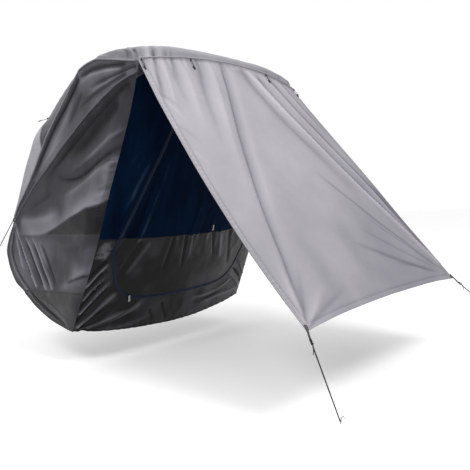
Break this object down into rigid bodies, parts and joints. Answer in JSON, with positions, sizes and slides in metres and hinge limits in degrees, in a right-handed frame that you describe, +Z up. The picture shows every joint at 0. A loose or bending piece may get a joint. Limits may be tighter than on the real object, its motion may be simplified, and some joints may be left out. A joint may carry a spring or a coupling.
{
  "type": "car sunshade tent",
  "caption": "Fabric tent worn by a raised tailgate: silver hood, dark walls with a zipped mesh door, and a sloping awning held by guy ropes and pegs.",
  "frame": {"origin": "middle line of the tent, on the underside of the hood where it lies on the raised tailgate, 2.032 m above the ground", "axes": "+Z up, +Y towards the tent's open end, -Y towards the awning's pegged edge, +X to the right seen from behind the tent"},
  "size_m": [1.9243, 3.2185, 2.2001],
  "materials": {
    "silver_cloth": "coated woven polyester, silver side out, satin",
    "awning_cloth": "coated woven polyester, silver side out, satin",
    "charcoal_cloth": "coated woven polyester, dull sheen",
    "black_cloth": "coated woven polyester, slightly glossy on the folds",
    "mesh_cloth": "fine knitted insect mesh, dark navy, slightly see-through",
    "zip_tape": "woven zip tape with a plastic coil",
    "zip_pull": "moulded white puller",
    "webbing": "flat woven webbing",
    "cord": "braided cord",
    "black_plastic": "moulded plastic, matt",
    "peg_steel": "bent steel rod"
  },
  "bodies": {
    "root": {"hood_top": "silver_cloth", "fascia_centre": "silver_cloth", "fascia_left": "silver_cloth", "fascia_right": "silver_cloth", "hood_tail_left": "silver_cloth", "hood_tail_right": "silver_cloth", "awning_seam_tape": "silver_cloth", "awning_sheet": "awning_cloth", "awning_hem_left": "awning_cloth", "awning_hem_right": "awning_cloth", "awning_hem_front": "awning_cloth", "corner_tab_left": "awning_cloth", "corner_tab_right": "awning_cloth", "wing_left": "charcoal_cloth", "wing_right": "charcoal_cloth", "side_wall_left": "charcoal_cloth", "side_wall_right": "charcoal_cloth", "door_panel": "black_cloth", "rear_skirt": "black_cloth", "rear_jamb_left": "black_cloth", "rear_jamb_right": "black_cloth", "side_skirt_left": "black_cloth", "side_skirt_right": "black_cloth", "rear_hem": "black_cloth", "side_hem_left": "black_cloth", "side_hem_right": "black_cloth", "hood_front_hem": "black_cloth", "door_mesh": "mesh_cloth", "mesh_side_left": "mesh_cloth", "mesh_side_right": "mesh_cloth", "door_zip": "zip_tape", "zip_pull_1": "zip_pull", "zip_pull_2": "zip_pull", "side_loop_left": "webbing", "side_loop_right": "webbing", "roof_strap_left": "webbing", "roof_strap_right": "webbing", "guy_rope_left": "cord", "guy_rope_right": "cord", "side_cord_left": "cord", "side_cord_right": "cord", "roll_toggle_1": "black_plastic", "roll_toggle_2": "black_plastic", "roll_toggle_3": "black_plastic", "roll_toggle_4": "black_plastic", "line_runner_left": "black_plastic", "line_runner_right": "black_plastic", "peg_left": "peg_steel", "peg_right": "peg_steel"}
  },
  "joints": []
}
